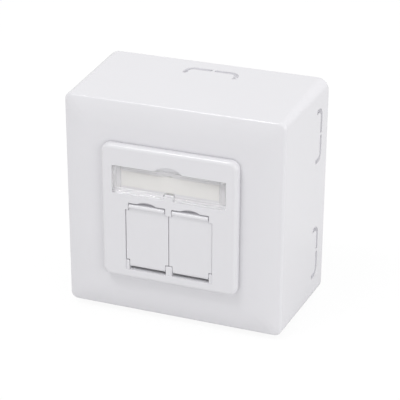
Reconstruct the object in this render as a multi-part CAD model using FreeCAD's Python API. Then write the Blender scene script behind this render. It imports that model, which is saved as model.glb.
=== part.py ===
import FreeCAD, Part
import math
import os

"""Surface mount jack box with two shielded outlets, a label window and two dust flaps.

Millimetres, +Z up.  The wall face is the plane y = 0 and the front looks along -Y.
The origin is the centre of the cable entry in the wall face.  Inside this file a place
along the box is called its depth: how far it stands out from the wall, so y = -depth.
"""

V = FreeCAD.Vector
OUT = "parts"

# ---- outer cover ------------------------------------------------------------------
BOX_X = 80.0                # width at the wall
BOX_Z = 79.4                # height at the wall
DEPTH = 41.1                # wall to the flat part of the front
EDGE_DEPTH = 39.7           # wall to the crisp edge where the domed front begins
DRAFT_INSET = 1.8           # how far the walls lean in over that depth
DOME = 9.0                  # width of the curved border round the flat part
WALL_RADIUS = 4.1           # long corners, at the wall
EDGE_BREAK = 0.4            # chamfer along the crisp edge
WALL = 2.1                  # cover wall
FRONT_WALL = 2.2

# ---- knockouts in the cover's walls ------------------------------------------------
KNOCK_WIDTH = 19.2
KNOCK_SLOT = 1.5            # width of the moulded slot
KNOCK_BACK = 5.5            # depth of the slot's long side
KNOCK_FRONT = 10.8          # depth where its ends stop
KNOCK_BRIDGE = 0.9          # web left in the middle of the long side
KNOCK_TOP_X = 1.4
KNOCK_SIDE_Z = (22.4, -20.7)

# ---- centre plate ------------------------------------------------------------------
PLATE_HALF = 23.9
PLATE_RADIUS = 3.0
PLATE_FRONT = 43.9          # depth of its face
PLATE_GAP = 0.35            # shadow gap between its rim and the cover
PLATE_ROUND = 1.4           # front edge
PLATE_WALL = 1.8
SKIRT_HALF = 21.8           # part that passes through the cover
SKIRT_BACK = 38.1
SEAT_HALF = 22.9

# ---- dust flaps --------------------------------------------------------------------
FLAP_X = 7.65               # centre of each flap
FLAP_HALF = 7.55
TONGUE_HALF = 6.4
FLAP_TOP = 3.45
FLAP_SHOULDER = 1.3         # z where the top tongue starts
FLAP_HEEL = -16.85          # z where the bottom tongue starts
FLAP_FRONT = 43.6
FLAP_THICK = 1.6
HINGE_Z = -18.5
KNUCKLE_R = 1.15
TRUNNION_R = 0.8
RUN_GAP = 0.05              # radial running clearance
BAR_Z = 2.75                # half-round pull bar
BAR_R = 0.75
BAY_GAP = 0.15
BAY_HALF = 15.35
BAY_SHOULDER = 1.45
BAY_HEEL = -17.2
BAY_TOP = 3.95
BAY_BOTTOM = -20.5

# ---- label window ------------------------------------------------------------------
WINDOW_HALF = 19.7
WINDOW_LOW = 7.0
WINDOW_HIGH = 16.4
WINDOW_FRONT = 43.75
WINDOW_THICK = 1.3
RECESS_GAP = 0.2
RECESS_FLOOR = 42.1
WINDOW_HINGE_Z = 7.75
WINDOW_KNUCKLE_R = 0.7
WINDOW_PIN_R = 0.4
LEG_INNER = 17.4            # end legs that stand beside the card
NOTCH_HALF = 1.8            # bottom notch round the plate's lug
NOTCH_TOP = 8.9
NAIL_R = 7.25               # radius of every fingernail recess
CARD_HALF = 17.1
CARD_LOW = 9.2
CARD_HIGH = 14.6
CARD_THICK = 0.2

# ---- inner works -------------------------------------------------------------------
BASE_HALF = 37.2
BASE_RADIUS = 4.2
STUD_X = 33.0                # locating studs in the corners
BASE_THICK = 2.2
ENTRY_R = 12.0
WALL_SLOT_SPAN = 60.0
WALL_SLOT_R = 2.1
WALL_SLOT_LENGTH = 8.0
POST_SPAN = 60.0
POST_HALF = 3.5
CARRIER_BACK = 28.0
CARRIER_THICK = 1.5
CARRIER_HALF = 34.0
JACK_Z = -7.9               # centre of both outlets
JACK_FRONT = 39.9
CAN_HALF_X = 7.0
CAN_HALF_Z = 6.65
CAN_WALL = 0.3
BOARD_FRONT = 23.2
BOARD_THICK = 1.6
BOARD_X = 15.4
BOARD_Z = (-20.0, 4.4)
PORT_HALF_X = 5.9
PORT_LOW = -11.0            # floor of the plug cavity
PORT_HIGH = -4.2
PORT_BACK = 26.2
CONTACT_PITCH = 1.02
CONTACT_SIZE = 0.4
HOUSING_FRONT = 37.9
HOUSING_HALF_X = 16.0
HOUSING_Z = (-17.5, 1.7)
COVER_BACK = 12.0
COVER_WALL = 1.4
COVER_Z = (-20.5, 5.0)
TRAY_END = 14.0
CABLE_R = 3.4
CABLE_DEPTH = 17.0
IDC_HALF_X = 6.2
IDC_Z = (-18.5, 3.0)
IDC_BACK = 14.0
IDC_PITCH = 2.5
SCREW_R = 1.45
SCREW_HOLE_R = 1.5
SCREW_Z = 11.7              # plate screw, behind the label card


def box(x0, x1, depth0, depth1, z0, z1):
    """Block between two x, two depths and two z values."""
    return Part.makeBox(x1 - x0, depth1 - depth0, z1 - z0, V(x0, -depth1, z0))


def rod_along_depth(radius, depth0, depth1, x, z):
    return Part.makeCylinder(radius, depth1 - depth0, V(x, -depth0, z), V(0, -1, 0))


def rod_along_x(radius, x0, x1, depth, z):
    return Part.makeCylinder(radius, x1 - x0, V(x0, -depth, z), V(1, 0, 0))


def rod_along_z(radius, z0, z1, x, depth):
    return Part.makeCylinder(radius, z1 - z0, V(x, -depth, z0), V(0, 0, 1))


def corner_arcs(half_x, half_z, radius, depth, x=0.0, z=0.0):
    """Start, middle and end of the four corner arcs of a rounded rectangle, clockwise."""
    inner_x, inner_z = half_x - radius, half_z - radius
    reach = radius * math.sqrt(0.5)
    arcs = []
    for sx, sz in ((1, 1), (1, -1), (-1, -1), (-1, 1)):
        centre_x, centre_z = x + sx * inner_x, z + sz * inner_z
        on_z = V(centre_x, -depth, centre_z + sz * radius)
        on_x = V(centre_x + sx * radius, -depth, centre_z)
        middle = V(centre_x + sx * reach, -depth, centre_z + sz * reach)
        first, last = (on_z, on_x) if sx == sz else (on_x, on_z)
        arcs.append((first, middle, last))
    return arcs


def rounded_face(arcs):
    """Flat face inside four corner arcs and the straight sides between them."""
    edges = []
    for index, (first, middle, last) in enumerate(arcs):
        edges.append(Part.Arc(first, middle, last).toShape())
        edges.append(Part.LineSegment(last, arcs[(index + 1) % 4][0]).toShape())
    return Part.Face(Part.Wire(edges))


def rounded_slab(half_x, half_z, radius, depth0, depth1, x=0.0, z=0.0):
    face = rounded_face(corner_arcs(half_x, half_z, radius, depth0, x, z))
    return face.extrude(V(0, depth0 - depth1, 0))


def prism(profile, axis, half_length):
    """Extrude a closed profile of edges both ways along an axis."""
    wire = Part.Wire([edge.toShape() for edge in profile])
    wire.translate(axis * -half_length)
    return Part.Face(wire).extrude(axis * (2 * half_length))


def leaning_block(half_x, half_z, radius, depth0, depth1):
    """Block with conical long corners whose walls lean in by the cover's draft."""
    lean = DRAFT_INSET / EDGE_DEPTH
    low, high = lean * depth0, lean * depth1
    parts = []
    for half, along, axis, other in ((half_x, V(1, 0, 0), V(0, 0, 1), half_z),
                                     (half_z, V(0, 0, 1), V(1, 0, 0), half_x)):
        corners = [
            along * (low - half) + V(0, -depth0, 0), along * (half - low) + V(0, -depth0, 0),
            along * (half - high) + V(0, -depth1, 0), along * (high - half) + V(0, -depth1, 0),
        ]
        sides = [Part.LineSegment(a, b) for a, b in zip(corners, corners[1:] + corners[:1])]
        parts.append(prism(sides, axis, other - radius))
    for sx in (-1, 1):
        for sz in (-1, 1):
            foot = V(sx * (half_x - radius), -depth0, sz * (half_z - radius))
            parts.append(Part.makeCone(radius - low, radius - high, depth1 - depth0, foot, V(0, -1, 0)))
    return joined(parts)


def domed_prism(half, along, axis, half_length):
    """Prism whose front is flat in the middle and curves back over the dome's width."""
    rise = DEPTH - EDGE_DEPTH
    radius = (DOME * DOME + rise * rise) / (2 * rise)
    reach = DOME + 2
    flat = half - DRAFT_INSET - DOME

    def point(place, run):
        drop = radius - math.sqrt(radius * radius - run * run)
        return along * place + V(0, drop - DEPTH, 0)

    left = [point(-flat - reach, reach), point(-flat - reach / 2, reach / 2), point(-flat, 0)]
    right = [point(flat, 0), point(flat + reach / 2, reach / 2), point(flat + reach, reach)]
    feet = [along * (flat + reach), along * (-flat - reach)]
    profile = [
        Part.Arc(*left), Part.LineSegment(left[2], right[0]), Part.Arc(*right),
        Part.LineSegment(right[2], feet[0]), Part.LineSegment(feet[0], feet[1]),
        Part.LineSegment(feet[1], left[0]),
    ]
    return prism(profile, axis, half_length)


def edges_at_depth(shape, depth, inside=None):
    """Edges lying in one depth plane; inside keeps those within that half-size."""
    found = []
    for edge in shape.Edges:
        points = [vertex.Point for vertex in edge.Vertexes]
        if all(abs(point.y + depth) < 1e-3 for point in points):
            reach = max(max(abs(point.x), abs(point.z)) for point in points)
            if inside is None or reach < inside:
                found.append(edge)
    return found


def joined(shapes):
    whole = shapes[0].fuse(list(shapes[1:])) if len(shapes) > 1 else shapes[0]
    return whole.removeSplitter()


def save(name, shape):
    shape.exportStep(os.path.join(OUT, name + ".step"))


# ---- cover --------------------------------------------------------------------------
def knockout_slot(length):
    """U-shaped slot with a web in its middle, drawn on the XY plane and cut along Z.

    The long side lies along X near the wall, and both ends turn towards the front.
    """
    half = KNOCK_WIDTH / 2
    wide = KNOCK_SLOT
    corner = 3.2
    back, front = -KNOCK_BACK, -KNOCK_FRONT
    slots = []
    for side in (-1, 1):
        outer = [V(side * KNOCK_BRIDGE / 2, back, 0), V(side * (half - corner), back, 0)]
        bend = V(side * (half - corner * 0.293), back - corner * 0.293, 0)
        turn = V(side * half, back - corner, 0)
        tip = V(side * half, front, 0)
        inner_turn = V(side * (half - wide), back - corner, 0)
        inner_tip = V(side * (half - wide), front, 0)
        inner_radius = corner - wide
        inner_bend = V(side * (half - wide - inner_radius * 0.293), back - wide - inner_radius * 0.293, 0)
        inner_start = V(side * (half - corner), back - wide, 0)
        inner_end = V(side * KNOCK_BRIDGE / 2, back - wide, 0)
        edges = [
            Part.LineSegment(outer[0], outer[1]),
            Part.Arc(outer[1], bend, turn),
            Part.LineSegment(turn, tip),
            Part.LineSegment(tip, inner_tip),
            Part.LineSegment(inner_tip, inner_turn),
            Part.Arc(inner_turn, inner_bend, inner_start),
            Part.LineSegment(inner_start, inner_end),
            Part.LineSegment(inner_end, outer[0]),
        ]
        face = Part.Face(Part.Wire([edge.toShape() for edge in edges]))
        slots.append(face.extrude(V(0, 0, length)))
    return Part.makeCompound(slots)


def knockout_cutters():
    """Six slots: one above, one below and two in each side."""
    reach = BOX_X / 2 - 5
    cutters = []
    for turn, offset in ((0, KNOCK_TOP_X), (180, -KNOCK_TOP_X)):
        slot = knockout_slot(10)
        slot.translate(V(offset, 0, reach))
        slot.rotate(V(0, 0, 0), V(0, 1, 0), turn)
        cutters.append(slot)
    for side in (1, -1):
        for height in KNOCK_SIDE_Z:
            slot = knockout_slot(10)
            slot.translate(V(-side * height, 0, reach))
            slot.rotate(V(0, 0, 0), V(0, 1, 0), side * 90)
            cutters.append(slot)
    return cutters


def crisp_edges(body):
    """Edges where the walls meet the domed front."""
    found = []
    for edge in body.Edges:
        points = [vertex.Point for vertex in edge.Vertexes]
        near_front = all(-point.y > EDGE_DEPTH - 0.5 for point in points)
        outside = all(max(abs(point.x), abs(point.z) + (BOX_X - BOX_Z) / 2) > BOX_X / 2 - DRAFT_INSET - 1.3
                      for point in points)
        if near_front and outside:
            found.append(edge)
    return found


def make_cover():
    """One moulded hood: leaning walls, domed front, plate opening and knockouts."""
    half_x, half_z = BOX_X / 2, BOX_Z / 2
    body = leaning_block(half_x, half_z, WALL_RADIUS, 0, DEPTH + 1)
    body = body.common(domed_prism(half_x, V(1, 0, 0), V(0, 0, 1), half_z))
    body = body.common(domed_prism(half_z, V(0, 0, 1), V(1, 0, 0), half_x))
    body = body.makeChamfer(EDGE_BREAK, crisp_edges(body))
    hollow = leaning_block(half_x - WALL, half_z - WALL, WALL_RADIUS - WALL, -1, EDGE_DEPTH - 1.9)
    step_x, step_z = BOX_X / 2 - 8, BOX_Z / 2 - 8
    hollow = hollow.fuse(box(-step_x, step_x, 1, DEPTH - FRONT_WALL, -step_z, step_z))
    body = body.cut(hollow)
    opening = SKIRT_HALF + 0.2
    body = body.cut(box(-opening, opening, 30, 50, -opening, opening))
    for cutter in knockout_cutters():
        body = body.cut(cutter)
    return body


# ---- centre plate ---------------------------------------------------------------------
def nail_recess(x, edge_z, rise, depth0, depth1):
    """Part of a disc that rises above one straight edge."""
    disc = rod_along_depth(NAIL_R, depth0, depth1, x, edge_z + rise - NAIL_R)
    return disc.common(box(x - 9, x + 9, depth0, depth1, edge_z - 0.3, edge_z + rise + 1))


def flap_bay():
    """Opening for both flaps; what is left at its corners are the hinge lugs."""
    low, high = SKIRT_BACK - 1, PLATE_FRONT + 1
    cutters = [box(-BAY_HALF, BAY_HALF, low, high, BAY_HEEL, BAY_SHOULDER)]
    half = TONGUE_HALF + BAY_GAP
    for side in (-1, 1):
        centre = side * FLAP_X
        cutters.append(box(centre - half, centre + half, low, high, BAY_BOTTOM, BAY_TOP))
    return joined(cutters)


def make_plate():
    """Centre plate with its skirt, label recess, flap bay, hinge lugs and screw boss."""
    rim_back = DEPTH + PLATE_GAP
    face = rounded_slab(PLATE_HALF, PLATE_HALF, PLATE_RADIUS, rim_back, PLATE_FRONT)
    face = face.makeFillet(PLATE_ROUND, edges_at_depth(face, PLATE_FRONT))
    seat = box(-SEAT_HALF, SEAT_HALF, DEPTH, rim_back, -SEAT_HALF, SEAT_HALF)
    skirt = box(-SKIRT_HALF, SKIRT_HALF, SKIRT_BACK, DEPTH, -SKIRT_HALF, SKIRT_HALF)
    plate = joined([face, seat, skirt])
    inner = SKIRT_HALF - 1.3
    plate = plate.cut(box(-inner, inner, SKIRT_BACK - 1, PLATE_FRONT - PLATE_WALL, -inner, inner))
    collar = box(-BAY_HALF - 1.5, BAY_HALF + 1.5, SKIRT_BACK, RECESS_FLOOR, -inner - 0.2, BAY_TOP + 1.4)
    label_floor = box(-inner - 0.2, inner + 0.2, RECESS_FLOOR - 1.2, RECESS_FLOOR, 5.3, 17.6)
    boss = box(-4, 4, CARRIER_BACK + CARRIER_THICK, RECESS_FLOOR, SCREW_Z - 4, SCREW_Z + 4)
    plate = joined([plate, collar, label_floor, boss])
    recess = box(
        -WINDOW_HALF - RECESS_GAP, WINDOW_HALF + RECESS_GAP, RECESS_FLOOR, PLATE_FRONT + 1,
        WINDOW_LOW - RECESS_GAP, WINDOW_HIGH + RECESS_GAP,
    )
    cutters = [recess, flap_bay(), rod_along_depth(SCREW_HOLE_R + 0.2, 25, 45, 0, SCREW_Z)]
    cutters.append(rod_along_depth(3.1, RECESS_FLOOR - 1.2, RECESS_FLOOR + 1, 0, SCREW_Z))
    cutters.append(nail_recess(0, WINDOW_HIGH + RECESS_GAP, 1.9, RECESS_FLOOR + 0.3, PLATE_FRONT + 1))
    for side in (-1, 1):
        cutters.append(nail_recess(side * FLAP_X, BAY_TOP, 0.85, PLATE_FRONT - 1.6, PLATE_FRONT + 1))
    cutters.append(box(-BAY_HALF, BAY_HALF, FLAP_FRONT, PLATE_FRONT + 1, BAY_BOTTOM, BAY_HEEL))
    plate = plate.cut(cutters)
    lug = box(-1.6, 1.6, RECESS_FLOOR, PLATE_FRONT - 0.1, WINDOW_LOW - RECESS_GAP, 8.1)
    stops = [
        box(side * FLAP_X - TONGUE_HALF - BAY_GAP, side * FLAP_X + TONGUE_HALF + BAY_GAP,
            FLAP_FRONT - FLAP_THICK - 1.4, FLAP_FRONT - FLAP_THICK - 0.05, FLAP_TOP - 0.7, BAY_TOP)
        for side in (-1, 1)
    ]
    plate = joined([plate, lug] + stops)
    lug_edges = []
    for edge in plate.Edges:
        points = [vertex.Point for vertex in edge.Vertexes]
        on_front = all(abs(point.y + FLAP_FRONT) < 1e-3 for point in points)
        on_heel = all(abs(point.z - BAY_HEEL) < 1e-3 for point in points)
        if on_front and on_heel:
            lug_edges.append(edge)
    plate = plate.makeFillet(0.5, lug_edges)
    return plate.cut(plate_pin_holes())


def plate_pin_holes():
    """Sockets for the flaps' trunnions and the window's end pins."""
    radius = TRUNNION_R + RUN_GAP
    depth = FLAP_FRONT - KNUCKLE_R
    middle = FLAP_X - TONGUE_HALF
    holes = [rod_along_x(radius, -middle, middle, depth, HINGE_Z)]
    for side in (-1, 1):
        wall = side * (FLAP_X + TONGUE_HALF)
        low, high = sorted((wall, wall + side * (BAY_GAP + 0.85)))
        holes.append(rod_along_x(radius, low, high, depth, HINGE_Z))
        start = side * (WINDOW_HALF + RECESS_GAP - 0.1)
        end = side * (WINDOW_HALF + RECESS_GAP + 0.75)
        low, high = sorted((start, end))
        pin_depth = WINDOW_FRONT - WINDOW_KNUCKLE_R
        holes.append(rod_along_x(WINDOW_PIN_R + RUN_GAP, low, high, pin_depth, WINDOW_HINGE_Z))
    return holes


# ---- flaps and label ---------------------------------------------------------------
def make_flap(side):
    """Dust flap: broad leaf, narrower tongues, half-round pull bar, knuckle, trunnions."""
    x = side * FLAP_X
    back = FLAP_FRONT - FLAP_THICK
    hinge_depth = FLAP_FRONT - KNUCKLE_R
    leaf = box(x - FLAP_HALF, x + FLAP_HALF, back, FLAP_FRONT, FLAP_HEEL, FLAP_SHOULDER)
    tongue = box(x - TONGUE_HALF, x + TONGUE_HALF, back, FLAP_FRONT, HINGE_Z, FLAP_TOP)
    knuckle = rod_along_x(KNUCKLE_R, x - TONGUE_HALF, x + TONGUE_HALF, hinge_depth, HINGE_Z)
    bar = rod_along_x(BAR_R, x - TONGUE_HALF, x + TONGUE_HALF, FLAP_FRONT, BAR_Z)
    bar = bar.common(box(x - 8, x + 8, FLAP_FRONT - 0.2, FLAP_FRONT + 2, 0, 5))
    reach = TONGUE_HALF + BAY_GAP + 0.75
    pins = rod_along_x(TRUNNION_R, x - reach, x + reach, hinge_depth, HINGE_Z)
    return joined([leaf, tongue, knuckle, bar, pins])


def make_window():
    """Clear label window: pane, end legs, knuckle along its lower edge, nail dimple."""
    back = WINDOW_FRONT - WINDOW_THICK
    axis_depth = WINDOW_FRONT - WINDOW_KNUCKLE_R
    pane = box(-WINDOW_HALF, WINDOW_HALF, back, WINDOW_FRONT, WINDOW_HINGE_Z, WINDOW_HIGH)
    knuckle = rod_along_x(WINDOW_KNUCKLE_R, -WINDOW_HALF, WINDOW_HALF, axis_depth, WINDOW_HINGE_Z)
    legs = [
        box(min(side * LEG_INNER, side * WINDOW_HALF), max(side * LEG_INNER, side * WINDOW_HALF),
            RECESS_FLOOR + 0.05, back + 0.2, WINDOW_HINGE_Z + 0.3, WINDOW_HIGH)
        for side in (-1, 1)
    ]
    reach = WINDOW_HALF + RECESS_GAP + 0.6
    pins = rod_along_x(WINDOW_PIN_R, -reach, reach, axis_depth, WINDOW_HINGE_Z)
    window = joined([pane, knuckle, pins] + legs)
    dimple = rod_along_depth(NAIL_R, WINDOW_FRONT - 0.6, WINDOW_FRONT + 1, 0, WINDOW_HIGH - 1.9 + NAIL_R)
    notch = box(-NOTCH_HALF, NOTCH_HALF, back - 1, WINDOW_FRONT + 1, WINDOW_LOW - 1, NOTCH_TOP)
    return window.cut([dimple, notch])


def make_card():
    return box(-CARD_HALF, CARD_HALF, RECESS_FLOOR, RECESS_FLOOR + CARD_THICK, CARD_LOW, CARD_HIGH)


# ---- base and carrier -----------------------------------------------------------------
def make_base():
    """Wall plate with cable entry, two wall-screw slots, carrier posts and locating studs."""
    slab = rounded_slab(BASE_HALF, BASE_HALF, BASE_RADIUS, 0, BASE_THICK)
    parts = [slab]
    for side in (-1, 1):
        x = side * POST_SPAN / 2
        parts.append(box(x - POST_HALF, x + POST_HALF, 0, CARRIER_BACK, -POST_HALF, POST_HALF))
        parts.append(box(x - 0.8, x + 0.8, 0, 20, -7, 7))
        for level in (-1, 1):
            parts.append(box(side * STUD_X - 2, side * STUD_X + 2, 0, 9, level * STUD_X - 2, level * STUD_X + 2))
    base = joined(parts)
    cutters = [rod_along_depth(ENTRY_R, -1, 5, 0, 0)]
    straight = WALL_SLOT_LENGTH / 2 - WALL_SLOT_R
    for side in (-1, 1):
        z = side * WALL_SLOT_SPAN / 2
        cutters.append(rounded_slab(WALL_SLOT_R, straight + WALL_SLOT_R, WALL_SLOT_R - 1e-3, -1, 5, 0, z))
        cutters.append(rod_along_depth(SCREW_HOLE_R, 18, CARRIER_BACK + 1, side * POST_SPAN / 2, 0))
    return base.cut(cutters)


def make_carrier():
    """Sheet-metal support frame across the posts, tapped for the plate screw."""
    carrier = rounded_slab(CARRIER_HALF, CARRIER_HALF, 6, CARRIER_BACK, CARRIER_BACK + CARRIER_THICK)
    low, high = HOUSING_Z
    cutters = [
        box(-HOUSING_HALF_X - 0.2, HOUSING_HALF_X + 0.2, 20, 40, low - 0.2, high + 0.2),
        rod_along_depth(SCREW_HOLE_R, 20, 40, 0, SCREW_Z),
    ]
    for side in (-1, 1):
        cutters.append(rod_along_depth(SCREW_HOLE_R + 0.2, 20, 40, side * POST_SPAN / 2, 0))
        cutters.append(box(side * 20 - 9, side * 20 + 9, 20, 40, 23, 28))
        cutters.append(box(side * 20 - 9, side * 20 + 9, 20, 40, -30, -25))
    return carrier.cut(cutters)


def screw(x, z, seat, tip, head_r, head_height):
    """Pan-head screw along depth with a slot."""
    head = rod_along_depth(head_r, seat, seat + head_height, x, z)
    head = head.fuse(rod_along_depth(SCREW_R, tip, seat, x, z)).removeSplitter()
    top = seat + head_height
    return head.cut(box(x - 4, x + 4, top - head_height * 0.5, top + 1, z - 0.35, z + 0.35))


# ---- shielded outlet module ------------------------------------------------------------
def make_housing():
    """Die-cast body with two pockets, and a flange that rests on the carrier."""
    low, high = HOUSING_Z
    body = box(-HOUSING_HALF_X, HOUSING_HALF_X, BOARD_FRONT, HOUSING_FRONT, low, high)
    seat = CARRIER_BACK + CARRIER_THICK
    flange = rounded_slab(18.5, 12.6, 1.5, seat, seat + 1.4, 0, (low + high) / 2)
    housing = joined([body, flange])
    for side in (-1, 1):
        x = side * FLAP_X
        half_x, half_z = CAN_HALF_X + 0.05, CAN_HALF_Z + 0.05
        housing = housing.cut(box(x - half_x, x + half_x, 20, 40, JACK_Z - half_z, JACK_Z + half_z))
    return housing


def make_can(side):
    """Folded shield round one outlet."""
    x = side * FLAP_X
    half_x, half_z = CAN_HALF_X, CAN_HALF_Z
    can = box(x - half_x, x + half_x, BOARD_FRONT, JACK_FRONT, JACK_Z - half_z, JACK_Z + half_z)
    half_x, half_z = half_x - CAN_WALL, half_z - CAN_WALL
    return can.cut(box(x - half_x, x + half_x, 20, 41, JACK_Z - half_z, JACK_Z + half_z))


def make_insert(side):
    """Moulded outlet body with the plug cavity, its latch steps and a contact comb."""
    x = side * FLAP_X
    half_x, half_z = CAN_HALF_X - CAN_WALL, CAN_HALF_Z - CAN_WALL
    front = JACK_FRONT - 0.2
    body = box(x - half_x, x + half_x, BOARD_FRONT, front, JACK_Z - half_z, JACK_Z + half_z)
    cutters = [
        box(x - PORT_HALF_X, x + PORT_HALF_X, PORT_BACK, 41, PORT_LOW, PORT_HIGH),
        box(x - 3.2, x + 3.2, PORT_BACK, 41, PORT_LOW - 1.5, PORT_LOW + 0.1),
        box(x - 1.9, x + 1.9, PORT_BACK, 41, PORT_LOW - 2.6, PORT_LOW),
    ]
    return body.cut(cutters)


def make_contacts(side):
    """Eight spring contacts, each a sloping leaf with a foot in the cavity's roof."""
    x = side * FLAP_X
    contacts = []
    for index in range(8):
        middle = x + (index - 3.5) * CONTACT_PITCH
        low = middle - CONTACT_SIZE / 2
        outline = [
            V(low, -(JACK_FRONT - 3.0), PORT_HIGH),
            V(low, -(JACK_FRONT - 3.6), PORT_HIGH),
            V(low, -(PORT_BACK + 2.2), PORT_HIGH - 1.9),
            V(low, -PORT_BACK, PORT_HIGH - 1.9),
            V(low, -PORT_BACK, PORT_HIGH - 2.25),
            V(low, -(PORT_BACK + 2.4), PORT_HIGH - 2.25),
        ]
        outline.append(outline[0])
        face = Part.Face(Part.makePolygon(outline))
        contacts.append(face.extrude(V(CONTACT_SIZE, 0, 0)))
    return Part.makeCompound(contacts)


def make_board():
    """Circuit board between the outlets and their terminal blocks."""
    low, high = BOARD_Z
    return box(-BOARD_X, BOARD_X, BOARD_FRONT - BOARD_THICK, BOARD_FRONT, low, high)


def terminal_heights():
    middle = (IDC_Z[0] + IDC_Z[1]) / 2
    return [middle + (index - 3.5) * IDC_PITCH for index in range(8)]


def make_terminal_block(side):
    """Punch-down block with eight wire slots and a channel along its middle."""
    x = side * FLAP_X
    front = BOARD_FRONT - BOARD_THICK
    block = box(x - IDC_HALF_X, x + IDC_HALF_X, IDC_BACK, front, IDC_Z[0], IDC_Z[1])
    cutters = [box(x - 1.2, x + 1.2, IDC_BACK - 1, IDC_BACK + 5.2, IDC_Z[0] - 1, IDC_Z[1] + 1)]
    for z in terminal_heights():
        cutters.append(box(x - 8, x + 8, IDC_BACK - 1, IDC_BACK + 4.4, z - 0.5, z + 0.5))
    return block.cut(cutters)


def make_blades(side):
    """Eight forked blades standing in the middle channel of a terminal block."""
    x = side * FLAP_X
    root, tip = IDC_BACK + 5.2, IDC_BACK + 0.6
    blades = []
    for z in terminal_heights():
        blade = box(x - 0.2, x + 0.2, tip, root, z - 0.95, z + 0.95)
        blades.append(blade.cut(box(x - 1, x + 1, tip - 1, tip + 3.0, z - 0.17, z + 0.17)))
    return Part.makeCompound(blades)


def make_shield_cover():
    """Rear shield: a can over the terminals, with two cable holes and a clamp tray."""
    low, high = COVER_Z
    half = HOUSING_HALF_X
    front = BOARD_FRONT - BOARD_THICK
    shell = box(-half, half, COVER_BACK, front, low, high)
    hollow = box(-half + COVER_WALL, half - COVER_WALL, COVER_BACK + 1, front + 1,
                 low + COVER_WALL, high - COVER_WALL)
    tray = box(-half, half, COVER_BACK, COVER_BACK + 1, high - 1, TRAY_END)
    cover = joined([shell.cut(hollow), tray])
    cutters = []
    for side in (-1, 1):
        x = side * FLAP_X
        cutters.append(rod_along_z(CABLE_R, high - 2, high + 1, x, CABLE_DEPTH))
        cutters.append(rod_along_depth(0.8, COVER_BACK - 1, COVER_BACK + 2, x + side * 5.6, 9.5))
    return cover.cut(cutters)


def make_clamp(side):
    """Strain-relief saddle: an arch over the cable, screwed at its outer foot."""
    x = side * FLAP_X
    seat = COVER_BACK + 1
    arch = rod_along_z(CABLE_R + 0.9, 7.6, 11.4, x, CABLE_DEPTH)
    legs = box(x - CABLE_R - 0.9, x + CABLE_R + 0.9, seat, CABLE_DEPTH, 7.6, 11.4)
    feet = box(x - 6.9, x + 6.9, seat, seat + 1.1, 7.6, 11.4)
    clamp = joined([arch, legs, feet])
    cutters = [
        rod_along_z(CABLE_R, 7, 12, x, CABLE_DEPTH),
        box(x - CABLE_R, x + CABLE_R, seat - 3, CABLE_DEPTH, 7, 12),
    ]
    cutters.append(rod_along_depth(0.8, seat - 1, seat + 2, x + side * 5.6, 9.5))
    return clamp.cut(cutters)


def make_clamp_screws():
    """Two small hexagon screws through the saddle feet into the tray."""
    seat = COVER_BACK + 2.1
    screws = []
    for side in (-1, 1):
        x = side * (FLAP_X + 5.6)
        points = [
            V(x + 1.3 * math.cos(math.radians(60 * k)), -seat, 9.5 + 1.3 * math.sin(math.radians(60 * k)))
            for k in range(7)
        ]
        head = Part.Face(Part.makePolygon(points)).extrude(V(0, -0.8, 0))
        screws.append(joined([head, rod_along_depth(0.75, COVER_BACK - 0.6, seat, x, 9.5)]))
    return Part.makeCompound(screws)


def main():
    os.makedirs(OUT, exist_ok=True)
    seat = CARRIER_BACK + CARRIER_THICK
    save("cover", make_cover())
    save("centre_plate", make_plate())
    save("label_window", make_window())
    save("label_card", make_card())
    save("base_plate", make_base())
    save("carrier_frame", make_carrier())
    save("carrier_screws", Part.makeCompound(
        [screw(side * POST_SPAN / 2, 0, seat, seat - 9, 3.0, 1.8) for side in (-1, 1)]))
    save("plate_screw", screw(0, SCREW_Z, RECESS_FLOOR - 1.2, CARRIER_BACK - 1.5, 2.8, 1.1))
    save("jack_housing", make_housing())
    save("circuit_board", make_board())
    save("shield_cover", make_shield_cover())
    save("clamp_screws", make_clamp_screws())
    for side, name in ((-1, "left"), (1, "right")):
        save("flap_" + name, make_flap(side))
        save("jack_shield_" + name, make_can(side))
        save("jack_insert_" + name, make_insert(side))
        save("jack_contacts_" + name, make_contacts(side))
        save("terminal_block_" + name, make_terminal_block(side))
        save("terminal_blades_" + name, make_blades(side))
        save("cable_clamp_" + name, make_clamp(side))


if __name__ == "__main__":
    main()
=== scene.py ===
"""Surface mount jack box with two dust flaps and a label window, dressed for rendering.

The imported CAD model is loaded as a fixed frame.  Every sub-assembly is a class that keeps
its own sizes and finishes, builds the pieces it models by hand and dresses the solids that
it keeps.  Lengths are metres, +Z is up and the front of the box looks along -Y.
"""

import logging
import math
from collections.abc import Callable, Iterator
from contextlib import contextmanager
from dataclasses import dataclass, field
from enum import Enum

import bmesh
import bpy
from mathutils import Matrix, Vector


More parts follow.
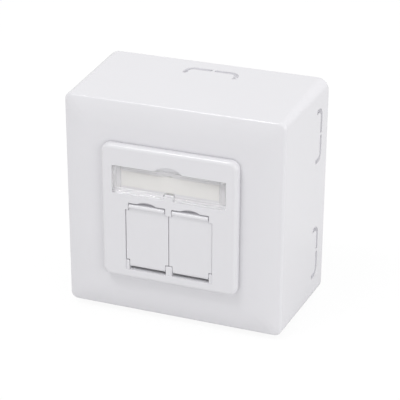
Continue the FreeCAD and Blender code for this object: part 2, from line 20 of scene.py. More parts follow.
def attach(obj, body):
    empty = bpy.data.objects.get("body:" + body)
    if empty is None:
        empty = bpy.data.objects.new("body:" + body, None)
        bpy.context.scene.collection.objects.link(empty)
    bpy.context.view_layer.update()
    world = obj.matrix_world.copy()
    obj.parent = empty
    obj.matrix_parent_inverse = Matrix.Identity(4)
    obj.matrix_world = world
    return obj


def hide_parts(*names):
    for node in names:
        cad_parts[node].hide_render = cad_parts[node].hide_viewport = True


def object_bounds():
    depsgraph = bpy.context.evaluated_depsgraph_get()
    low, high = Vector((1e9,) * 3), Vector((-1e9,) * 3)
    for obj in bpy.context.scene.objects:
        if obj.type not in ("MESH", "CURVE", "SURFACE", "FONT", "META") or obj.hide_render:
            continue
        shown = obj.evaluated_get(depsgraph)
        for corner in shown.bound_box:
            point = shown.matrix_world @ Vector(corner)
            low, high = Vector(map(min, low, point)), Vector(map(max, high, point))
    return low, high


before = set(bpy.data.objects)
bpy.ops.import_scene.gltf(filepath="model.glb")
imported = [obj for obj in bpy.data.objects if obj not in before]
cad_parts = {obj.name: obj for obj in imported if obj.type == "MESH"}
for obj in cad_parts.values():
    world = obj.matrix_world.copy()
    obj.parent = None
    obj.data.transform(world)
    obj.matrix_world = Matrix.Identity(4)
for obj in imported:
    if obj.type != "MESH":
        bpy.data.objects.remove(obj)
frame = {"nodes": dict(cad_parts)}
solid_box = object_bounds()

LOG = logging.getLogger("jack_box")
MM = 0.001
TOUCH = 0.02 * MM
WELD = 0.001 * MM
ROD_SIDES = 32
Span = tuple[float, float]


class Body(Enum):
    """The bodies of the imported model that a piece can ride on."""

    BOX = "jack_box"
    FLAP_LEFT = "flap_left"
    FLAP_RIGHT = "flap_right"
    WINDOW = "label_window"


class Side(Enum):
    """Left or right half of the box, seen from the front."""

    LEFT = -1
    RIGHT = 1

    @property
    def word(self) -> str:
        """Name of the side as the nodes spell it."""
        return self.name.lower()


# ---- finishes -------------------------------------------------------------------------
def new_material(name: str) -> tuple[bpy.types.Material, bpy.types.NodeTree, bpy.types.Node]:
    """Start an empty node material with a Principled shader and its output.

    Args:
        name: Name of the material.

    Returns:
        The material, its node tree and its Principled shader.
    """
    material = bpy.data.materials.new(name)
    material.use_nodes = True
    tree = material.node_tree
    tree.nodes.clear()
    shader = tree.nodes.new("ShaderNodeBsdfPrincipled")
    output = tree.nodes.new("ShaderNodeOutputMaterial")
    tree.links.new(shader.outputs["BSDF"], output.inputs["Surface"])
    return material, tree, shader


def noise(tree: bpy.types.NodeTree, scale: float, detail: float = 2.0) -> bpy.types.Node:
    """Add a noise texture on Object coordinates.

    Args:
        tree: Node tree to add to.
        scale: Grains per metre.
        detail: Octaves of the noise.

    Returns:
        The noise node.
    """
    place = tree.nodes.new("ShaderNodeTexCoord")
    grain = tree.nodes.new("ShaderNodeTexNoise")
    grain.inputs["Scale"].default_value = scale
    grain.inputs["Detail"].default_value = detail
    tree.links.new(place.outputs["Object"], grain.inputs["Vector"])
    return grain


def span(tree: bpy.types.NodeTree, source: bpy.types.NodeSocket,
         low: float, high: float) -> bpy.types.NodeSocket:
    """Spread a 0 to 1 value over another range.

    Args:
        tree: Node tree to add to.
        source: Socket that gives the value.
        low: Result at 0.
        high: Result at 1.

    Returns:
        Socket with the spread value.
    """
    node = tree.nodes.new("ShaderNodeMapRange")
    node.inputs["To Min"].default_value = low
    node.inputs["To Max"].default_value = high
    tree.links.new(source, node.inputs["Value"])
    return node.outputs["Result"]


def tint(tree: bpy.types.NodeTree, factor: bpy.types.NodeSocket,
         first: tuple[float, ...], second: tuple[float, ...]) -> bpy.types.NodeSocket:
    """Blend between two colours.

    Args:
        tree: Node tree to add to.
        factor: Socket with the blend.
        first: Colour at 0.
        second: Colour at 1.

    Returns:
        Socket with the colour.
    """
    ramp = tree.nodes.new("ShaderNodeValToRGB")
    ramp.color_ramp.elements[0].color = (*first, 1.0)
    ramp.color_ramp.elements[1].color = (*second, 1.0)
    tree.links.new(factor, ramp.inputs["Fac"])
    return ramp.outputs["Color"]


def roughen(tree: bpy.types.NodeTree, shader: bpy.types.Node, grain: bpy.types.Node,
            depth: float, softness: float) -> None:
    """Give a shader a grain bump over softened edges.

    Args:
        tree: Node tree to add to.
        shader: Shader that takes the normal.
        grain: Noise that gives the height.
        depth: Height of the grain in metres.
        softness: Radius in metres over which sharp edges are rounded.
    """
    bump = tree.nodes.new("ShaderNodeBump")
    bump.inputs["Distance"].default_value = depth
    bump.inputs["Strength"].default_value = 1.0
    tree.links.new(grain.outputs["Fac"], bump.inputs["Height"])
    if softness > 0:
        bevel = tree.nodes.new("ShaderNodeBevel")
        bevel.samples = 4
        bevel.inputs["Radius"].default_value = softness
        tree.links.new(bevel.outputs["Normal"], bump.inputs["Normal"])
    tree.links.new(bump.outputs["Normal"], shader.inputs["Normal"])


@dataclass(frozen=True)
class MouldedPlastic:
    """Injection-moulded plastic with a faint orange-peel skin."""

    name: str
    colour: tuple[float, float, float]
    roughness: float = 0.3
    grain_scale: float = 900.0
    grain_depth: float = 4e-6
    edge: float = 0.00018
    variation: float = 0.012
    cloud_scale: float = 45.0
    gloss_spread: float = 0.04
    index: float = 1.49

    def make(self) -> bpy.types.Material:
        """Build the node material.

        Returns:
            The material.
        """
        material, tree, shader = new_material(self.name)
        cloud = noise(tree, self.cloud_scale)
        light = tuple(min(1.0, c * (1 + self.variation)) for c in self.colour)
        dark = tuple(c * (1 - self.variation) for c in self.colour)
        tree.links.new(tint(tree, cloud.outputs["Fac"], dark, light), shader.inputs["Base Color"])
        skin = noise(tree, self.grain_scale, 3.0)
        low, high = self.roughness - self.gloss_spread, self.roughness + self.gloss_spread
        tree.links.new(span(tree, skin.outputs["Fac"], low, high), shader.inputs["Roughness"])
        shader.inputs["IOR"].default_value = self.index
        roughen(tree, shader, skin, self.grain_depth, self.edge)
        return material


@dataclass(frozen=True)
class ClearPlastic:
    """Clear moulded plastic, very slightly warm, that lets light through to what it covers."""

    name: str
    colour: tuple[float, float, float]
    roughness: float = 0.04
    body: float = 0.7
    shade: float = 0.05
    skin_scale: float = 300.0
    skin_depth: float = 2e-6
    index: float = 1.49

    def make(self) -> bpy.types.Material:
        """Build the node material.

        Returns:
            The material.
        """
        material, tree, shader = new_material(self.name)
        skin = noise(tree, self.skin_scale)
        shader.inputs["Base Color"].default_value = (*self.colour, 1.0)
        shader.inputs["Transmission Weight"].default_value = 1.0
        shader.inputs["IOR"].default_value = self.index
        tree.links.new(span(tree, skin.outputs["Fac"], self.roughness * 0.6, self.roughness * 1.4),
                       shader.inputs["Roughness"])
        path = tree.nodes.new("ShaderNodeLightPath")
        tree.links.new(span(tree, path.outputs["Is Shadow Ray"], self.body, self.shade),
                       shader.inputs["Alpha"])
        roughen(tree, shader, skin, self.skin_depth, 0.0)
        return material


@dataclass(frozen=True)
class Card:
    """Uncoated white card with a faint fibre."""

    name: str
    colour: tuple[float, float, float]
    fibre_scale: float = 2600.0
    fibre_depth: float = 6e-6
    fibre_shade: float = 0.97
    roughness: Span = (0.8, 0.95)

    def make(self) -> bpy.types.Material:
        """Build the node material.

        Returns:
            The material.
        """
        material, tree, shader = new_material(self.name)
        fibre = noise(tree, self.fibre_scale, 4.0)
        dark = tuple(c * self.fibre_shade for c in self.colour)
        tree.links.new(tint(tree, fibre.outputs["Fac"], dark, self.colour),
                       shader.inputs["Base Color"])
        tree.links.new(span(tree, fibre.outputs["Fac"], *self.roughness),
                       shader.inputs["Roughness"])
        roughen(tree, shader, fibre, self.fibre_depth, 0.0)
        return material


@dataclass(frozen=True)
class Metal:
    """Plated or cast metal with rolling or casting texture."""

    name: str
    colour: tuple[float, float, float]
    roughness: float = 0.3
    grain_scale: float = 1400.0
    grain_depth: float = 5e-6
    edge: float = 0.0001
    cloud_scale: float = 120.0
    cloud_shade: float = 0.88
    gloss_spread: Span = (-0.06, 0.08)

    def make(self) -> bpy.types.Material:
        """Build the node material.

        Returns:
            The material.
        """
        material, tree, shader = new_material(self.name)
        cloud = noise(tree, self.cloud_scale, 3.0)
        dark = tuple(c * self.cloud_shade for c in self.colour)
        tree.links.new(tint(tree, cloud.outputs["Fac"], dark, self.colour),
                       shader.inputs["Base Color"])
        shader.inputs["Metallic"].default_value = 1.0
        grain = noise(tree, self.grain_scale, 3.0)
        smooth, rough = (self.roughness + spread for spread in self.gloss_spread)
        tree.links.new(span(tree, grain.outputs["Fac"], smooth, rough),
                       shader.inputs["Roughness"])
        roughen(tree, shader, grain, self.grain_depth, self.edge)
        return material


WHITE = MouldedPlastic("white_plastic", (0.80, 0.794, 0.822), roughness=0.17)
BASE = MouldedPlastic("base_plastic", (0.76, 0.765, 0.77), roughness=0.42, grain_depth=8e-6)
BLACK = MouldedPlastic("black_plastic", (0.018, 0.018, 0.02), roughness=0.38)
TERMINAL = MouldedPlastic("terminal_plastic", (0.74, 0.745, 0.75), roughness=0.45)
BOARD = MouldedPlastic("board_lacquer", (0.02, 0.12, 0.055), roughness=0.3, grain_scale=500.0)
CLEAR = ClearPlastic("clear_plastic", (0.99, 0.987, 0.98))
CARD = Card("label_card", (0.85, 0.84, 0.832))
SHEET = Metal("sheet_steel", (0.62, 0.62, 0.61), roughness=0.32)
SCREW = Metal("screw_steel", (0.66, 0.65, 0.62), roughness=0.26)
ZINC = Metal("die_cast_zinc", (0.56, 0.565, 0.57), roughness=0.4, grain_depth=9e-6)
TIN = Metal("tin_blades", (0.68, 0.68, 0.66), roughness=0.3)
GOLD = Metal("gold_contacts", (0.83, 0.62, 0.26), roughness=0.22)

Finish = MouldedPlastic | ClearPlastic | Card | Metal


@dataclass
class Wardrobe:
    """Makes each finish once and puts it on nodes and pieces."""

    nodes: dict[str, bpy.types.Object]
    made: dict[str, bpy.types.Material] = field(default_factory=dict)

    def material(self, finish: Finish) -> bpy.types.Material:
        """Give the material of one finish, built on first use.

        Args:
            finish: The finish.

        Returns:
            The material.
        """
        if finish.name not in self.made:
            self.made[finish.name] = finish.make()
        return self.made[finish.name]

    def dress(self, finish: Finish, *names: str) -> None:
        """Put a finish on solids that are kept.

        Args:
            finish: The finish.
            names: Names of the CAD nodes.
        """
        for name in names:
            for slot in self.nodes[name].material_slots:
                slot.material = self.material(finish)
            LOG.info("dressed %s in %s", name, finish.name)


# ---- modelling bench ------------------------------------------------------------------
class Pick(Enum):
    """What an edit mode selection holds."""

    VERTS = "VERT"
    EDGES = "EDGE"
    FACES = "FACE"


class Bench:
    """Hand tools: primitives at their place, edit mode picks, cuts and joins."""

    @staticmethod
    def only(piece: bpy.types.Object) -> None:
        """Select one piece, and nothing else, and make it active.

        Args:
            piece: The piece.
        """
        bpy.ops.object.select_all(action="DESELECT")
        piece.select_set(True)
        bpy.context.view_layer.objects.active = piece

    @staticmethod
    def settle(name: str) -> bpy.types.Object:
        """Name the new primitive and move its place into its mesh.

        Args:
            name: Name of the piece.

        Returns:
            The piece.
        """
        piece = bpy.context.object
        piece.name = name
        piece.data.name = name
        bpy.ops.object.transform_apply(location=True, rotation=True, scale=True)
        return piece

    @classmethod
    def block(cls, name: str, x: Span, depth: Span, z: Span) -> bpy.types.Object:
        """Add a block between two x, two depths from the wall and two heights.

        Args:
            name: Name of the piece.
            x: Left and right.
            depth: Nearest to and furthest from the wall.
            z: Bottom and top.

        Returns:
            The block.
        """
        bpy.ops.object.select_all(action="DESELECT")
        middle = ((x[0] + x[1]) / 2, -(depth[0] + depth[1]) / 2, (z[0] + z[1]) / 2)
        size = (x[1] - x[0], depth[1] - depth[0], z[1] - z[0])
        bpy.ops.mesh.primitive_cube_add(size=1.0, location=middle, scale=size)
        return cls.settle(name)

    @classmethod
    def rod(cls, name: str, radius: float, x: Span, depth: float, z: float) -> bpy.types.Object:
        """Add a round rod that lies across the box.

        Args:
            name: Name of the piece.
            radius: Its radius.
            x: Its two ends.
            depth: Distance of its axis from the wall.
            z: Height of its axis.

        Returns:
            The rod.
        """
        bpy.ops.object.select_all(action="DESELECT")
        bpy.ops.mesh.primitive_cylinder_add(
            vertices=ROD_SIDES, radius=radius, depth=x[1] - x[0],
            location=((x[0] + x[1]) / 2, -depth, z), rotation=(0.0, math.pi / 2, 0.0))
        return cls.settle(name)

    @classmethod
    def ball(cls, name: str, radius: float, x: float, depth: float, z: float) -> bpy.types.Object:
        """Add a fine ball.

        Args:
            name: Name of the piece.
            radius: Its radius.
            x: Across to its centre.
            depth: Distance of its centre from the wall.
            z: Height of its centre.

        Returns:
            The ball.
        """
        bpy.ops.object.select_all(action="DESELECT")
        bpy.ops.mesh.primitive_uv_sphere_add(
            segments=96, ring_count=48, radius=radius, location=(x, -depth, z))
        return cls.settle(name)

    @classmethod
    @contextmanager
    def editing(cls, piece: bpy.types.Object) -> Iterator[None]:
        """Hold a piece in edit mode.

        Args:
            piece: The piece.

        Yields:
            Nothing, while edit mode lasts.
        """
        cls.only(piece)
        bpy.ops.object.mode_set(mode="EDIT")
        try:
            yield
        finally:
            bpy.ops.object.mode_set(mode="OBJECT")

    @staticmethod
    def pick(piece: bpy.types.Object, kind: Pick, wanted: Callable[..., bool]) -> None:
        """Select, in edit mode, what a test wants.

        Args:
            piece: The piece in edit mode.
            kind: Vertices, edges or faces.
            wanted: Test for one of them.
        """
        bpy.ops.mesh.select_mode(type=kind.value)
        bpy.ops.mesh.select_all(action="DESELECT")
        mesh = bmesh.from_edit_mesh(piece.data)
        items = {Pick.VERTS: mesh.verts, Pick.EDGES: mesh.edges, Pick.FACES: mesh.faces}[kind]
        for item in filter(wanted, items):
            item.select_set(True)
        mesh.select_flush_mode()
        bmesh.update_edit_mesh(piece.data)

    @classmethod
    def combine(cls, piece: bpy.types.Object, other: bpy.types.Object, operation: str) -> None:
        """Join another piece to one, or cut it away, and drop the other.

        Args:
            piece: The piece that stays.
            other: The piece that is used up.
            operation: UNION or DIFFERENCE.
        """
        cls.only(piece)
        modifier = piece.modifiers.new(operation.lower(), "BOOLEAN")
        modifier.operation, modifier.solver, modifier.object = operation, "EXACT", other
        bpy.ops.object.modifier_apply(modifier=modifier.name)
        bpy.data.meshes.remove(other.data)

    @classmethod
    def cut(cls, piece: bpy.types.Object, *others: bpy.types.Object) -> None:
        """Cut other pieces away from one."""
        for other in others:
            cls.combine(piece, other, "DIFFERENCE")

    @classmethod
    def join(cls, piece: bpy.types.Object, *others: bpy.types.Object) -> None:
        """Join other pieces to one."""
        for other in others:
            cls.combine(piece, other, "UNION")

    @staticmethod
    def copy(piece: bpy.types.Object, name: str, matrix: Matrix) -> bpy.types.Object:
        """Copy a piece with its own mesh, and place the copy.

        Args:
            piece: The pattern.
            name: Name of the copy.
            matrix: Where the copy goes.

        Returns:
            The copy.
        """
        twin = piece.copy()
        twin.data = piece.data.copy()
        twin.name = twin.data.name = name
        bpy.context.scene.collection.objects.link(twin)
        twin.data.transform(matrix)
        return twin

    @staticmethod
    def drop(piece: bpy.types.Object) -> None:
        """Throw a used pattern away."""
        bpy.data.meshes.remove(piece.data)

    @classmethod
    def break_edges(cls, piece: bpy.types.Object, width: float, angle: float = 50.0) -> None:
        """Round every sharp edge a little.

        Args:
            piece: The piece.
            width: Width of the rounding.
            angle: Least turn, in degrees, that counts as sharp.
        """
        cls.only(piece)
        bevel = piece.modifiers.new("edges", "BEVEL")
        bevel.width, bevel.segments = width, 2
        bevel.limit_method, bevel.angle_limit = "ANGLE", math.radians(angle)
        bpy.ops.object.modifier_apply(modifier=bevel.name)

    @classmethod
    def polish(cls, piece: bpy.types.Object, angle: float = 32.0) -> None:
        """Shade a piece smooth up to an angle, with its flat faces kept flat.

        Args:
            piece: The piece.
            angle: Largest turn, in degrees, that is shaded smooth.
        """
        with cls.editing(piece):
            bpy.ops.mesh.select_all(action="SELECT")
            bpy.ops.mesh.remove_doubles(threshold=WELD)
            bpy.ops.mesh.normals_make_consistent(inside=False)
        cls.only(piece)
        bpy.ops.object.shade_smooth_by_angle(angle=math.radians(angle))
        weighted = piece.modifiers.new("normals", "WEIGHTED_NORMAL")
        weighted.keep_sharp, weighted.weight = True, 100
        bpy.ops.object.modifier_apply(modifier=weighted.name)


@dataclass
class Maker:
    """What every sub-assembly needs: finishes to wear and bodies to ride on."""

    wardrobe: Wardrobe

    def place(self, piece: bpy.types.Object, finish: Finish, body: Body, *nodes: str) -> None:
        """Dress a finished piece, and let it stand for its solids on their body.

        Args:
            piece: The piece.
            finish: Its finish.
            body: Body it rides on.
            nodes: CAD nodes it stands for.
        """
        piece.data.materials.clear()
        piece.data.materials.append(self.wardrobe.material(finish))
        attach(piece, body.value)
        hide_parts(*nodes)
        LOG.info("made %s for %s: %d faces", piece.name, ", ".join(nodes), len(piece.data.polygons))


# ---- hood -----------------------------------------------------------------------------
@dataclass
class Hood(Maker):
    """Outer cover: leaning walls, crisp edge, domed front and six knockouts."""

    half_x: float = 40.0 * MM
    half_z: float = 39.7 * MM
    depth: float = 41.1 * MM
    edge: float = 39.7 * MM
    lean: float = 1.8 * MM
    dome: float = 9.0 * MM
    corner: float = 4.1 * MM
    wall: float = 2.1 * MM
    front_wall: float = 2.2 * MM
    crease: float = 0.85 * MM
    step_inset: float = 8.0 * MM
    opening: float = 22.0 * MM
    slot_half: float = 9.6 * MM
    slot_width: float = 1.5 * MM
    slot_back: float = 5.5 * MM
    slot_front: float = 10.8 * MM
    slot_turn: float = 3.2 * MM
    slot_floor: float = 1.3 * MM
    web_half: float = 0.45 * MM
    top_shift: float = 1.4 * MM
    side_heights: tuple[float, float] = (22.4 * MM, -20.7 * MM)

    def leaning_block(self, name: str, inset: float, back: float, front: float) -> bpy.types.Object:
        """Block with round long corners that lean in towards the front.

        Args:
            name: Name of the piece.
            inset: How far its walls lie inside the outer walls.
            back: Depth of its back.
            front: Depth of its front.

        Returns:
            The block.
        """
        half_x, half_z = self.half_x - inset, self.half_z - inset
        radius = self.corner - inset
        block = Bench.block(name, (-half_x, half_x), (back, front), (-half_z, half_z))
        with Bench.editing(block):
            Bench.pick(block, Pick.EDGES,
                       lambda e: abs(e.verts[0].co.y - e.verts[1].co.y) > TOUCH)
            bpy.ops.mesh.bevel(offset=radius, segments=12, affect="EDGES")
            for sx, sz in ((-1, -1), (-1, 1), (1, -1), (1, 1)):
                middle_x, middle_z = sx * (half_x - radius), sz * (half_z - radius)
                for depth in (back, front):
                    Bench.pick(block, Pick.VERTS, lambda v: (
                        abs(v.co.y + depth) < TOUCH
                        and (v.co.x - middle_x) * sx > -TOUCH
                        and (v.co.z - middle_z) * sz > -TOUCH))
                    share = (radius - self.lean * depth / self.edge) / radius
                    bpy.ops.transform.resize(value=(share, 1.0, share),
                                             center_override=(middle_x, -depth, middle_z))
        return block

    def raise_dome(self, hood: bpy.types.Object, steps: int = 12) -> None:
        """Extrude the front in shrinking rings that follow one shallow curve.

        Args:
            hood: The block, up to its crisp edge.
            steps: Number of rings.
        """
        half_x, half_z = self.half_x - self.lean, self.half_z - self.lean
        inset, depth = 0.0, self.edge
        with Bench.editing(hood):
            Bench.pick(hood, Pick.FACES, lambda f: f.normal.y < -0.9)
            for step in range(1, steps + 1):
                last_inset, last_depth = inset, depth
                inset = self.dome * step / steps
                depth = self.depth - (self.depth - self.edge) * (1 - inset / self.dome) ** 2
                bpy.ops.mesh.extrude_region_move(
                    TRANSFORM_OT_translate={"value": (0.0, last_depth - depth, 0.0)})
                bpy.ops.transform.resize(
                    value=((half_x - inset) / (half_x - last_inset), 1.0,
                           (half_z - inset) / (half_z - last_inset)),
                    center_override=(0.0, -depth, 0.0))
            Bench.pick(hood, Pick.EDGES,
                       lambda e: all(abs(v.co.y + self.edge) < TOUCH for v in e.verts))
            bpy.ops.mesh.bevel(offset=self.crease, segments=6, affect="EDGES")

    def half_slot(self, side: Side) -> bpy.types.Object:
        """One arm of a knockout's slot: a bar, a quarter turn and a short leg.

        Args:
            side: Which arm.

        Returns:
            The cutter, as it stands in the top wall.
        """
        sign = side.value
        bar_end = self.slot_half - self.slot_turn
        across = sorted((sign * self.web_half, sign * bar_end))
        arm = Bench.block("slot_" + side.word, (across[0], across[1]),
                          (self.slot_back, self.slot_back + self.slot_width),
                          (self.half_z - self.slot_floor, self.half_z + 1 * MM))
        pivot = (sign * bar_end, -(self.slot_back + self.slot_turn), 0.0)
        with Bench.editing(arm):
            Bench.pick(arm, Pick.FACES, lambda f: f.normal.x * sign > 0.9)
            bpy.ops.mesh.spin(steps=8, angle=sign * math.pi / 2, center=pivot, axis=(0, 0, 1))
            leg = self.slot_front - self.slot_back - self.slot_turn
            bpy.ops.mesh.extrude_region_move(TRANSFORM_OT_translate={"value": (0.0, -leg, 0.0)})
            bpy.ops.mesh.select_all(action="SELECT")
            bpy.ops.mesh.remove_doubles(threshold=WELD)
            bpy.ops.mesh.normals_make_consistent(inside=False)
        return arm

    def knock_out(self, hood: bpy.types.Object) -> None:
        """Cut the six slots: one above, one below and two in each side.

        Args:
            hood: The hollow hood.
        """
        spots = [(0.0, self.top_shift), (math.pi, -self.top_shift)]
        spots += [(side.value * math.pi / 2, -side.value * height)
                  for side in Side for height in self.side_heights]
        for side in Side:
            pattern = self.half_slot(side)
            for number, (turn, shift) in enumerate(spots):
                matrix = Matrix.Rotation(turn, 4, "Y") @ Matrix.Translation((shift, 0.0, 0.0))
                Bench.cut(hood, Bench.copy(pattern, f"slot_{side.word}_{number}", matrix))
            Bench.drop(pattern)

    def build(self) -> None:
        """Model the hood and let it stand for the cover."""
        hood = self.leaning_block("hood", 0.0, 0.0, self.edge)
        self.raise_dome(hood)
        Bench.cut(hood, self.leaning_block("hollow", self.wall, -1 * MM, self.edge - 1.9 * MM))
        step_x, step_z = self.half_x - self.step_inset, self.half_z - self.step_inset
        step_depth = (1 * MM, self.depth - self.front_wall)
        Bench.cut(hood, Bench.block("step", (-step_x, step_x), step_depth, (-step_z, step_z)))
        across = (-self.opening, self.opening)
        Bench.cut(hood, Bench.block("opening", across, (30 * MM, 50 * MM), across))
        self.knock_out(hood)
        Bench.polish(hood)
        self.place(hood, WHITE, Body.BOX, "cover")


# ---- dust flaps -----------------------------------------------------------------------
@dataclass
class DustFlaps(Maker):
    """Two drop-down flaps: leaf, narrow tongues, pull bar, hinge barrel and pins."""

    spacing: float = 7.65 * MM
    half: float = 7.55 * MM
    tongue: float = 6.4 * MM
    top: float = 3.45 * MM
    shoulder: float = 1.3 * MM
    heel: float = -16.85 * MM
    front: float = 43.6 * MM
    thick: float = 1.6 * MM
    hinge: float = -18.5 * MM
    barrel: float = 1.15 * MM
    pin: float = 0.8 * MM
    pin_reach: float = 7.3 * MM
    bar: float = 0.75 * MM
    bar_height: float = 2.75 * MM
    soft: float = 0.12 * MM

    def leaf(self) -> bpy.types.Object:
        """Model one flap about the middle of the box.

        Returns:
            The flap.
        """
        leaf = Bench.block("flap", (-self.tongue, self.tongue),
                           (self.front - self.thick, self.front), (self.hinge, self.top))
        with Bench.editing(leaf):
            for height in (self.shoulder, self.heel):
                bpy.ops.mesh.select_all(action="SELECT")
                bpy.ops.mesh.bisect(plane_co=(0.0, 0.0, height), plane_no=(0.0, 0.0, 1.0))
            for sign in (-1, 1):
                Bench.pick(leaf, Pick.FACES, lambda f: (
                    f.normal.x * sign > 0.9
                    and self.heel < f.calc_center_median().z < self.shoulder))
                bpy.ops.mesh.extrude_region_move(
                    TRANSFORM_OT_translate={"value": (sign * (self.half - self.tongue), 0.0, 0.0)})
        Bench.break_edges(leaf, self.soft)
        across = (-self.tongue + self.soft, self.tongue - self.soft)
        depth = self.front - self.barrel
        Bench.join(leaf,
                   Bench.rod("barrel", self.barrel, across, depth, self.hinge),
                   Bench.rod("pin", self.pin, (-self.pin_reach, self.pin_reach), depth, self.hinge),
                   Bench.rod("bar", self.bar, across, self.front, self.bar_height))
        Bench.polish(leaf)
        return leaf

    def build(self) -> None:
        """Model one flap and copy it to both sides."""
        pattern = self.leaf()
        for side, body in ((Side.LEFT, Body.FLAP_LEFT), (Side.RIGHT, Body.FLAP_RIGHT)):
            shift = Matrix.Translation((side.value * self.spacing, 0.0, 0.0))
            flap = Bench.copy(pattern, "dust_flap_" + side.word, shift)
            self.place(flap, WHITE, body, "flap_" + side.word)
        Bench.drop(pattern)

# ---- label window ---------------------------------------------------------------------
@dataclass
class LabelWindow(Maker):
    """Clear pane with a raised rim, end legs, hinge barrel and pins, thumb dip and notch."""

    half: float = 19.7 * MM
    top: float = 16.4 * MM
    front: float = 43.75 * MM
    thick: float = 1.3 * MM
    hinge: float = 7.75 * MM
    leg_inner: float = 17.4 * MM
    leg_back: float = 42.15 * MM
    leg_low: float = 8.05 * MM
    barrel: float = 0.7 * MM
    pin: float = 0.4 * MM
    pin_reach: float = 20.5 * MM
    notch_half: float = 1.8 * MM
    notch_top: float = 8.9 * MM
    rim: float = 1.3 * MM
    rim_low: float = 8.8 * MM
    rim_top: float = 15.9 * MM
    sunk: float = 0.3 * MM
    dip_low: float = 14.2 * MM
    dip_circle: float = 7.25 * MM
    dip_ball: float = 13.3 * MM
    soft: float = 0.14 * MM

    def build(self) -> None:
        """Model the pane and let it stand for the window."""
        back, depth = self.front - self.thick, self.front - self.barrel
        pane = Bench.block("label_pane", (-self.half, self.half), (back, self.front),
                           (self.hinge, self.top))
        for side in Side:
            across = sorted((side.value * self.leg_inner, side.value * self.half))
            Bench.join(pane, Bench.block("leg_" + side.word, (across[0], across[1]),
                                         (self.leg_back, self.front), (self.leg_low, self.top)))
        proud = self.front + MM
        Bench.cut(pane, Bench.block("notch", (-self.notch_half, self.notch_half),
                                    (back - MM, proud), (self.hinge - MM, self.notch_top)))
        panel = self.half - self.rim
        Bench.cut(pane, Bench.block("panel", (-panel, panel), (self.front - self.sunk, proud),
                                    (self.rim_low, self.rim_top)))
        Bench.break_edges(pane, self.soft)
        for side in Side:
            across = sorted((side.value * self.notch_half, side.value * (self.half - self.soft)))
            Bench.join(pane, Bench.rod("barrel_" + side.word, self.barrel, (across[0], across[1]),
                                       depth, self.hinge))
            across = sorted((side.value * (self.half - MM), side.value * self.pin_reach))
            Bench.join(pane, Bench.rod("pin_" + side.word, self.pin, (across[0], across[1]),
                                       depth, self.hinge))
        dip = self.dip_ball - math.sqrt(self.dip_ball ** 2 - self.dip_circle ** 2)
        Bench.cut(pane, Bench.ball("thumb_dip", self.dip_ball, 0.0,
                                   self.front + self.dip_ball - dip,
                                   self.dip_low + self.dip_circle))
        Bench.polish(pane)
        self.place(pane, CLEAR, Body.WINDOW, "label_window")


# ---- kept solids ----------------------------------------------------------------------
@dataclass
class CentrePlate(Maker):
    """Screwed-on plate, the card in its recess and its one screw."""

    def build(self) -> None:
        """Dress the plate and what it carries."""
        self.wardrobe.dress(WHITE, "centre_plate")
        self.wardrobe.dress(CARD, "label_card")
        self.wardrobe.dress(SCREW, "plate_screw")


@dataclass
class WallBase(Maker):
    """Base on the wall, the carrier frame across it and its screws."""

    def build(self) -> None:
        """Dress the base and the carrier."""
        self.wardrobe.dress(BASE, "base_plate")
        self.wardrobe.dress(SHEET, "carrier_frame")
        self.wardrobe.dress(SCREW, "carrier_screws")


@dataclass
class JackModule(Maker):
    """Shielded housing with two jacks, their terminals and cable clamps."""

    def build(self) -> None:
        """Dress the housing and everything in it."""
        self.wardrobe.dress(ZINC, "jack_housing", "shield_cover")
        self.wardrobe.dress(BOARD, "circuit_board")
        self.wardrobe.dress(SCREW, "clamp_screws")
        for side in Side:
            self.wardrobe.dress(SHEET, "jack_shield_" + side.word, "cable_clamp_" + side.word)
            self.wardrobe.dress(BLACK, "jack_insert_" + side.word)
            self.wardrobe.dress(GOLD, "jack_contacts_" + side.word)
            self.wardrobe.dress(TERMINAL, "terminal_block_" + side.word)
            self.wardrobe.dress(TIN, "terminal_blades_" + side.word)


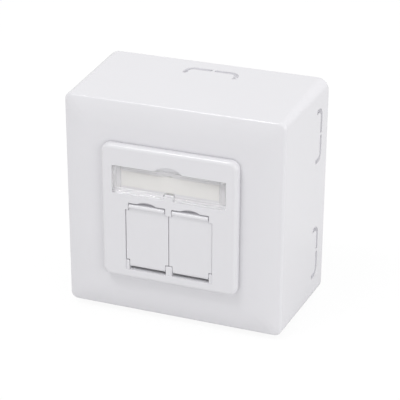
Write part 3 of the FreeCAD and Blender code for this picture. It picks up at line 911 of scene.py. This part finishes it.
# ---- studio ---------------------------------------------------------------------------
@dataclass
class Studio:
    """Camera, soft lights, pale floor and white surround."""

    azimuth: float = 20.961
    elevation: float = 24.512
    roll: float = 0.266
    shift_right: float = -0.005392
    shift_up: float = -0.010236
    distance: float = 0.539772
    lens: float = 138.397
    sensor: float = 36.0
    floor_size: float = 6.0
    floor_colour: float = 0.8
    floor_glow: float = 1.04
    floor_glow_share: float = 0.88
    surround: float = 0.67

    def camera(self) -> None:
        """Place the camera at the viewing angle of the product shot."""
        around, above = math.radians(self.azimuth), math.radians(self.elevation)
        back = Vector((math.sin(around) * math.cos(above), -math.cos(around) * math.cos(above),
                       math.sin(above)))
        right = Vector((math.cos(around), math.sin(around), 0.0))
        up = back.cross(right)
        turn = math.radians(self.roll)
        level = right * math.cos(turn) + up * math.sin(turn)
        upright = up * math.cos(turn) - right * math.sin(turn)
        data = bpy.data.cameras.new("camera")
        data.lens, data.sensor_width = self.lens, self.sensor
        data.clip_start, data.clip_end = 0.01, 20.0
        camera = bpy.data.objects.new("camera", data)
        bpy.context.scene.collection.objects.link(camera)
        axes = Matrix((level, upright, back)).transposed().to_4x4()
        place = back * self.distance + level * self.shift_right + upright * self.shift_up
        camera.matrix_world = Matrix.Translation(place) @ axes
        bpy.context.scene.camera = camera

    def lamp(self, name: str, place: tuple[float, float, float], size: float, power: float) -> None:
        """Add one square soft lamp that faces the box.

        Args:
            name: Name of the lamp.
            place: Where it hangs, in metres.
            size: Edge of its square face.
            power: Its power in watts.
        """
        data = bpy.data.lights.new(name, "AREA")
        data.size, data.energy = size, power
        lamp = bpy.data.objects.new(name, data)
        bpy.context.scene.collection.objects.link(lamp)
        lamp.location = place
        lamp.rotation_mode = "QUATERNION"
        lamp.rotation_quaternion = (-Vector(place)).to_track_quat("-Z", "Y")

    def light(self) -> None:
        """Hang the lamps."""
        self.lamp("key_lamp", (-0.37, -0.6, 1.25), 0.4, 5.0)
        self.lamp("top_lamp", (0.15, 0.45, 1.4), 0.9, 1.0)
        self.lamp("right_lamp", (1.25, -1.0, 0.45), 0.8, 3.8)
        self.lamp("side_lamp", (1.5, 0.2, 0.5), 0.9, 4.2)

    def world(self) -> None:
        """White surround for the camera, glass and metal; a softer grey for light."""
        world = bpy.data.worlds.new("surround")
        bpy.context.scene.world = world
        world.use_nodes = True
        tree = world.node_tree
        tree.nodes.clear()
        path = tree.nodes.new("ShaderNodeLightPath")
        seen = path.outputs["Is Camera Ray"]
        for ray in ("Is Transmission Ray", "Is Glossy Ray"):
            either = tree.nodes.new("ShaderNodeMath")
            either.operation = "MAXIMUM"
            tree.links.new(seen, either.inputs[0])
            tree.links.new(path.outputs[ray], either.inputs[1])
            seen = either.outputs[0]
        strength = tree.nodes.new("ShaderNodeMapRange")
        strength.inputs["To Min"].default_value = self.surround
        strength.inputs["To Max"].default_value = 1.0
        tree.links.new(seen, strength.inputs["Value"])
        backdrop = tree.nodes.new("ShaderNodeBackground")
        backdrop.inputs["Color"].default_value = (1.0, 1.0, 1.0, 1.0)
        tree.links.new(strength.outputs["Result"], backdrop.inputs["Strength"])
        output = tree.nodes.new("ShaderNodeOutputWorld")
        tree.links.new(backdrop.outputs[0], output.inputs["Surface"])

    def floor(self, level: float) -> None:
        """Lay a pale floor under the box.

        Args:
            level: Height of the floor.
        """
        bpy.ops.mesh.primitive_plane_add(size=self.floor_size, location=(0, 0, level))
        floor = bpy.context.object
        floor.name = "floor"
        material = bpy.data.materials.new("floor")
        material.use_nodes = True
        tree = material.node_tree
        tree.nodes.clear()
        matt = tree.nodes.new("ShaderNodeBsdfDiffuse")
        matt.inputs["Color"].default_value = (*(self.floor_colour,) * 3, 1.0)
        glow = tree.nodes.new("ShaderNodeEmission")
        glow.inputs["Strength"].default_value = self.floor_glow
        path = tree.nodes.new("ShaderNodeLightPath")
        share = tree.nodes.new("ShaderNodeMath")
        share.operation = "MULTIPLY"
        share.inputs[1].default_value = self.floor_glow_share
        tree.links.new(path.outputs["Is Camera Ray"], share.inputs[0])
        mix = tree.nodes.new("ShaderNodeMixShader")
        tree.links.new(share.outputs[0], mix.inputs["Fac"])
        tree.links.new(matt.outputs[0], mix.inputs[1])
        tree.links.new(glow.outputs[0], mix.inputs[2])
        output = tree.nodes.new("ShaderNodeOutputMaterial")
        tree.links.new(mix.outputs[0], output.inputs["Surface"])
        floor.data.materials.append(material)

    def build(self, level: float) -> None:
        """Set up the whole studio around the box.

        Args:
            level: Height of the floor.
        """
        bpy.context.scene.view_settings.view_transform = "Standard"
        self.camera()
        self.light()
        self.world()
        self.floor(level)


def main() -> None:
    """Build every sub-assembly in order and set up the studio."""
    logging.basicConfig(level=logging.INFO, format="%(message)s")
    wardrobe = Wardrobe(frame["nodes"])
    for maker in (Hood, CentrePlate, LabelWindow, DustFlaps, WallBase, JackModule):
        maker(wardrobe).build()
        LOG.info("%s is ready", maker.__name__)
    Studio().build(solid_box[0].z)


if __name__ == "__main__":
    main()
